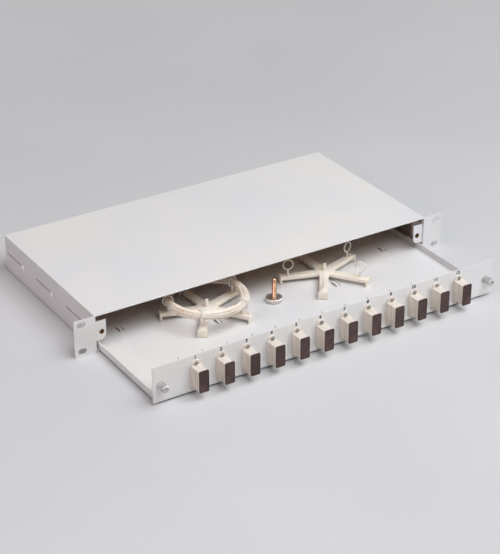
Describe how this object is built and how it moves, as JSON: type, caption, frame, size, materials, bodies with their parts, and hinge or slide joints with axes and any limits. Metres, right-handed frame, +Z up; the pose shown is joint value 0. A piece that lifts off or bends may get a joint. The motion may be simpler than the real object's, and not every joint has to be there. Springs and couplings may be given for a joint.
{
  "type": "fibre patch panel",
  "caption": "Flat rack-mount housing with a sliding drawer that carries duplex fibre adapters, fibre spools and a clamp stud.",
  "frame": {"origin": "centre of the four rack slots, on the front plane of the rack ears", "axes": "+X along the width to the right seen from the front, +Y to the back, +Z up"},
  "size_m": [0.4826, 0.3645, 0.044],
  "materials": {
    "powder_coat": "fine-grained light grey powder coat",
    "zinc_steel": "bright zinc plate",
    "nickel_plate": "satin nickel plate",
    "brass": "machined brass",
    "copper_plate": "copper-plated steel",
    "chrome": "polished chrome",
    "adapter_plastic": "cream moulded plastic",
    "cap_plastic": "dark brown-grey moulded plastic",
    "spool_plastic": "milky ivory moulded plastic",
    "fibre_jacket": "cream fibre jacket",
    "grommet_rubber": "black rubber"
  },
  "bodies": {
    "housing": {"housing_base": "powder_coat", "housing_cover": "powder_coat", "cover_screws": "zinc_steel", "cable_grommet_left": "grommet_rubber", "cable_grommet_right": "grommet_rubber", "guide_rail_left": "zinc_steel", "guide_rail_right": "zinc_steel", "latch_bracket_left": "powder_coat", "latch_bracket_right": "powder_coat", "latch_inserts": "brass"},
    "drawer": {"drawer_tray": "powder_coat", "adapter_screws": "zinc_steel", "adapter_nuts": "zinc_steel", "fibre_spool_left": "spool_plastic", "fibre_spool_right": "spool_plastic", "fibre_coil": "fibre_jacket", "clamp_stud": "copper_plate", "adapter_01": "adapter_plastic", "front_cap_01": "cap_plastic", "rear_cap_01": "cap_plastic", "adapter_02": "adapter_plastic", "front_cap_02": "cap_plastic", "rear_cap_02": "cap_plastic", "adapter_03": "adapter_plastic", "front_cap_03": "cap_plastic", "rear_cap_03": "cap_plastic", "adapter_04": "adapter_plastic", "front_cap_04": "cap_plastic", "rear_cap_04": "cap_plastic", "adapter_05": "adapter_plastic", "front_cap_05": "cap_plastic", "rear_cap_05": "cap_plastic", "adapter_06": "adapter_plastic", "front_cap_06": "cap_plastic", "rear_cap_06": "cap_plastic", "adapter_07": "adapter_plastic", "front_cap_07": "cap_plastic", "rear_cap_07": "cap_plastic", "adapter_08": "adapter_plastic", "front_cap_08": "cap_plastic", "rear_cap_08": "cap_plastic", "adapter_09": "adapter_plastic", "front_cap_09": "cap_plastic", "rear_cap_09": "cap_plastic", "adapter_10": "adapter_plastic", "front_cap_10": "cap_plastic", "rear_cap_10": "cap_plastic", "adapter_11": "adapter_plastic", "front_cap_11": "cap_plastic", "rear_cap_11": "cap_plastic", "adapter_12": "adapter_plastic", "front_cap_12": "cap_plastic", "rear_cap_12": "cap_plastic"},
    "clamp_nut": {"knurled_nut": "chrome"},
    "thumbscrew_left": {"thumbscrew_left": "nickel_plate", "retainer_clip_left": "zinc_steel"},
    "thumbscrew_right": {"thumbscrew_right": "nickel_plate", "retainer_clip_right": "zinc_steel"}
  },
  "joints": [
    {"name": "drawer_slide", "type": "slide", "parent": "housing", "child": "drawer", "axis": [0, -1, 0], "range_m": [-0.122, 0.078]},
    {"name": "thumbscrew_left_turn", "type": "hinge", "parent": "drawer", "child": "thumbscrew_left", "pos_m": [-0.208, -0.1235, 0], "axis": [0, -1, 0], "continuous": true},
    {"name": "thumbscrew_right_turn", "type": "hinge", "parent": "drawer", "child": "thumbscrew_right", "pos_m": [0.208, -0.1235, 0], "axis": [0, -1, 0], "continuous": true},
    {"name": "clamp_nut_turn", "type": "hinge", "parent": "drawer", "child": "clamp_nut", "pos_m": [0, -0.0113, -0.016], "axis": [0, 0, 1], "continuous": true}
  ]
}
